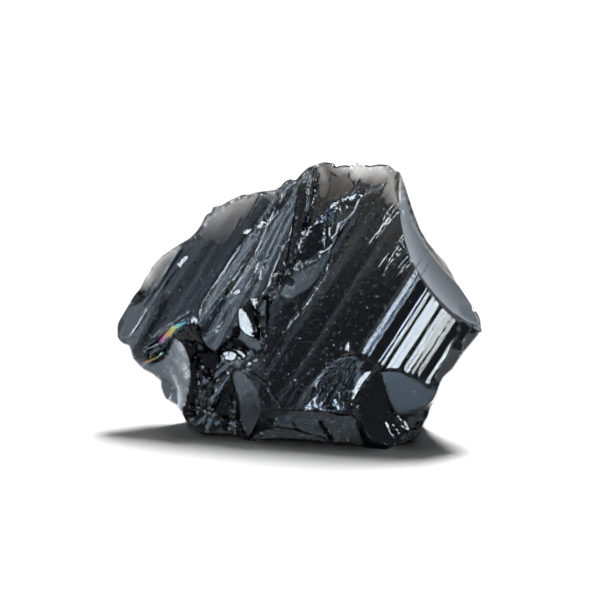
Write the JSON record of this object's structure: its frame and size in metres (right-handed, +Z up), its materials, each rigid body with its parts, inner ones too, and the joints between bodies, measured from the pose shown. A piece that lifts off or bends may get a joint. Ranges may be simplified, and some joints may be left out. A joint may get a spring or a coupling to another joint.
{
  "type": "obsidian chunk",
  "caption": "Palm-sized chunk of raw black volcanic glass with conchoidal flake scars, striated faces and thin smoky edges.",
  "frame": {"origin": "middle of the bounding box in plan, on the surface that the chunk rests on", "axes": "+X along the chunk's longest side, to the right as its broad striated face is looked at; +Y away from that viewer; +Z up"},
  "size_m": [0.0856, 0.03, 0.0632],
  "materials": {
    "obsidian": "polished-bright natural fracture, near black where thick and smoky grey where thin"
  },
  "bodies": {
    "root": {"obsidian_chunk": "obsidian"}
  },
  "joints": []
}
